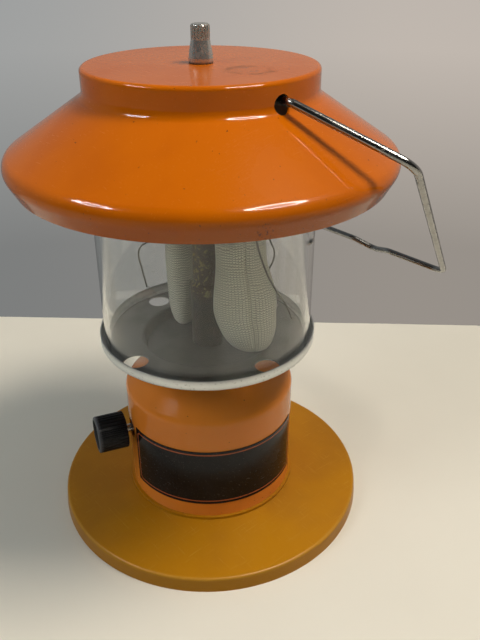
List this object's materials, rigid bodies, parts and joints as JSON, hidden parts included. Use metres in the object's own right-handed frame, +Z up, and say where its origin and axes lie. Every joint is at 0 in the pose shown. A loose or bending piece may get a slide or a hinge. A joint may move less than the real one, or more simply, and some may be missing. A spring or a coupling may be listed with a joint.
{
  "type": "camping lantern",
  "caption": "Upright gas camping lantern: sloping metal hat with a folding wire bail over a glass globe with cloth mantles, on a drawn body with a valve knob and a wide base disc.",
  "frame": {"origin": "middle of the base's underside, on the ground", "axes": "+Z up the lantern's axis; the bail pivots along Y and lies folded towards +X; the knob points to about -X"},
  "size_m": [0.2622, 0.232, 0.2893],
  "materials": {
    "orange_enamel": "glossy baked enamel",
    "ochre_plastic": "satin moulded",
    "black_plastic": "satin moulded",
    "label_film": "printed film with a thin border line",
    "zinc_plate": "galvanised, dulled",
    "clear_glass": "clear",
    "valve_brass": "machined",
    "burner_metal": "heat stained",
    "plated_wire": "bright plated",
    "plated_steel": "zinc plated",
    "mantle_cloth": "knitted",
    "tie_thread": "twisted thread"
  },
  "bodies": {
    "base": {"base_stand": "ochre_plastic"},
    "lantern": {"body_shell": "orange_enamel", "label_panel": "label_film", "valve_body": "valve_brass", "packing_nut": "valve_brass", "globe_plate": "zinc_plate", "globe": "clear_glass", "burner_tube": "burner_metal", "burner_manifold": "burner_metal", "burner_cap_front": "burner_metal", "burner_cap_back": "burner_metal", "mantle_front": "mantle_cloth", "mantle_back": "mantle_cloth", "top_stud": "plated_steel", "shield_nut": "plated_steel", "heat_shield": "zinc_plate", "tie_string_back": "tie_thread", "tie_string_short": "tie_thread", "tie_string_long": "tie_thread"},
    "valve": {"valve_stem": "plated_steel", "valve_knob": "black_plastic"},
    "hat": {"hat": "orange_enamel", "chimney_ring": "zinc_plate"},
    "bail": {"bail": "plated_wire"},
    "finial": {"finial_nut": "plated_steel"}
  },
  "joints": [
    {"name": "lantern_lift", "type": "slide", "parent": "base", "child": "lantern", "axis": [0, 0, 1], "range_m": [0, 0.25]},
    {"name": "valve_turn", "type": "hinge", "parent": "lantern", "child": "valve", "pos_m": [0, 0, 0.057], "axis": [-0.9397, 0.342, 0], "range_deg": [0, 300]},
    {"name": "hat_lift", "type": "slide", "parent": "lantern", "child": "hat", "axis": [0, 0, 1], "range_m": [0, 0.16]},
    {"name": "finial_turn", "type": "hinge", "parent": "hat", "child": "finial", "pos_m": [0, 0, 0.2709], "axis": [0, 0, 1], "continuous": true},
    {"name": "bail_swing", "type": "hinge", "parent": "hat", "child": "bail", "pos_m": [0, 0, 0.2616], "axis": [0, -1, 0], "range_deg": [0, 262]}
  ]
}
